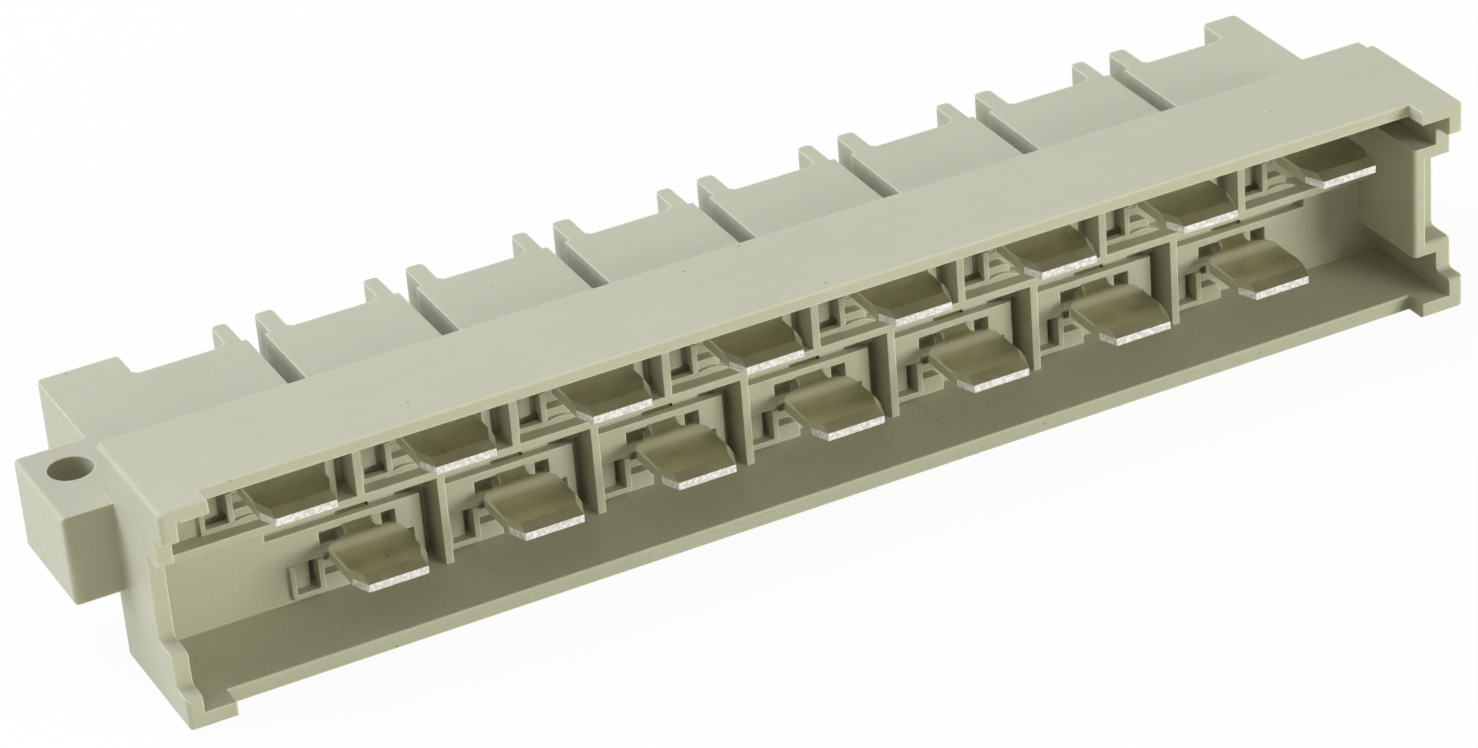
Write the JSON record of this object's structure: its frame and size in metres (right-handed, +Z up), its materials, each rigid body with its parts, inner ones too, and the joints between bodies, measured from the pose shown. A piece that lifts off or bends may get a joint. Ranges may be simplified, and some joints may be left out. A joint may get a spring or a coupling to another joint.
{
  "type": "rack power connector",
  "caption": "Board half of a two-part rack power connector: open shroud round two staggered rows of flat blades, slotted chambers behind it, a screw ear at each end.",
  "frame": {"origin": "midway between the two screw holes, on the plane of the ears' undersides that meets the circuit board", "axes": "+X along the length, from the plain end to the end with the guide slab; -Y is the mating direction that the blades point in; +Z up, away from the board"},
  "size_m": [0.094, 0.0245, 0.0146],
  "materials": {
    "housing": "grey-green moulded glass-filled plastic, fine satin",
    "contact": "silver-plated copper alloy strip, satin with brighter coined tips"
  },
  "bodies": {
    "root": {"housing": "housing", "upper_contact_1": "contact", "upper_contact_2": "contact", "upper_contact_3": "contact", "upper_contact_4": "contact", "upper_contact_5": "contact", "upper_contact_6": "contact", "upper_contact_7": "contact", "upper_contact_8": "contact", "lower_contact_1": "contact", "lower_contact_2": "contact", "lower_contact_3": "contact", "lower_contact_4": "contact", "lower_contact_5": "contact", "lower_contact_6": "contact", "lower_contact_7": "contact"}
  },
  "joints": []
}
